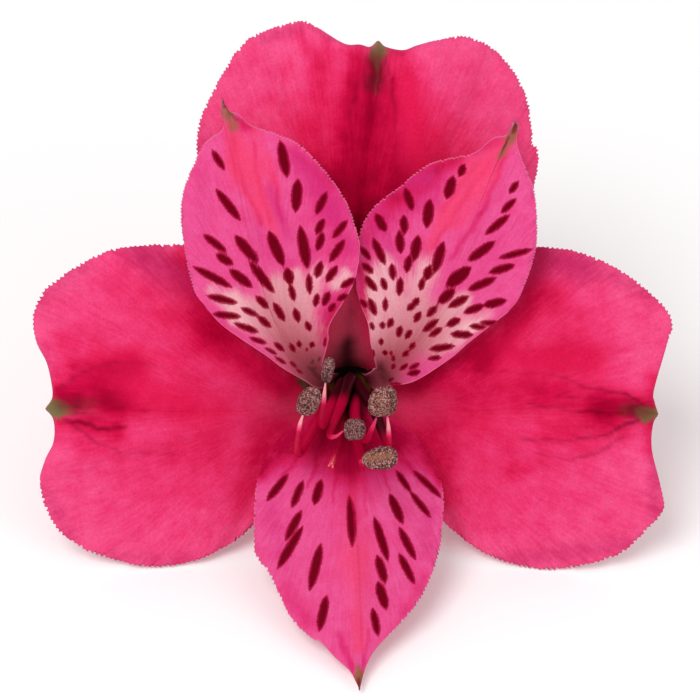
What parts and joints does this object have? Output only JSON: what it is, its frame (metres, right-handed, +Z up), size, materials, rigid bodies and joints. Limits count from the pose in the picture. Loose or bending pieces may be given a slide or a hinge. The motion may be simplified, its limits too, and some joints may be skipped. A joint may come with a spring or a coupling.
{
  "type": "alstroemeria flower",
  "caption": "Open alstroemeria flower with broad outer tepals, dashed inner tepals, curved stamens, ribbed ovary and a short cut stalk, lying down.",
  "frame": {"origin": "the middle of the flower's footprint, on the surface that it lies on", "axes": "+Z up; +Y back along the stalk, away from the open face; +X to the right of someone who looks at the open face"},
  "size_m": [0.0704, 0.0785, 0.0513],
  "materials": {
    "outer_tepal": "satin petal",
    "inner_tepal": "satin petal",
    "filament": "smooth and moist",
    "anther": "mealy",
    "style": "smooth",
    "green_stalk": "waxy"
  },
  "bodies": {
    "root": {"ovary_and_stalk": "green_stalk", "outer_tepal_top": "outer_tepal", "outer_tepal_left": "outer_tepal", "outer_tepal_right": "outer_tepal", "inner_tepal_upper_left": "inner_tepal", "inner_tepal_upper_right": "inner_tepal", "inner_tepal_lower": "inner_tepal", "filament_1": "filament", "filament_2": "filament", "filament_3": "filament", "filament_4": "filament", "filament_5": "filament", "filament_6": "filament", "anther_1": "anther", "anther_2": "anther", "anther_3": "anther", "anther_4": "anther", "anther_5": "anther", "anther_6": "anther", "style": "style"}
  },
  "joints": []
}
